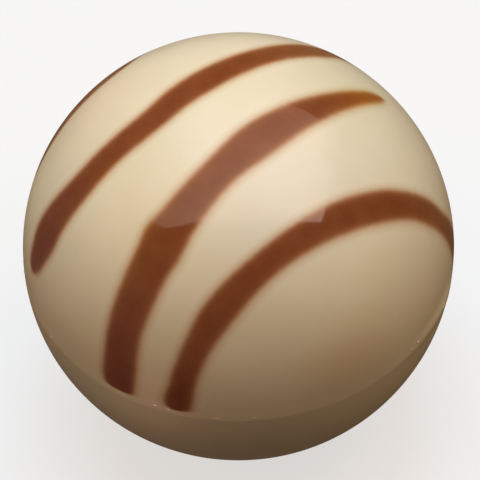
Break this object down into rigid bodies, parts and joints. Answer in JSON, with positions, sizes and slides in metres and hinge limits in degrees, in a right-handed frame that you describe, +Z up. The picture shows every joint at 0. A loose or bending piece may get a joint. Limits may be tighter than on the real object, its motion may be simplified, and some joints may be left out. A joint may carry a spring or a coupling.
{
  "type": "irish cream chocolate truffle",
  "caption": "Glossy moulded ball truffle in cream-coloured white chocolate with a fine seam round its middle and slanting milk chocolate stripes over its upper half.",
  "frame": {"origin": "middle of the flat spot that the truffle rests on", "axes": "+Z up through the poles of the mould halves; the seam lies level; +X to the right and +Y away from the viewer in the picture"},
  "size_m": [0.0282, 0.0282, 0.027],
  "materials": {
    "white_chocolate": "glossy moulded white chocolate, creamy beige",
    "milk_chocolate": "glossy milk chocolate, red-brown, lighter where it is thin at the edges"
  },
  "bodies": {
    "root": {"truffle": "white_chocolate"}
  },
  "joints": []
}
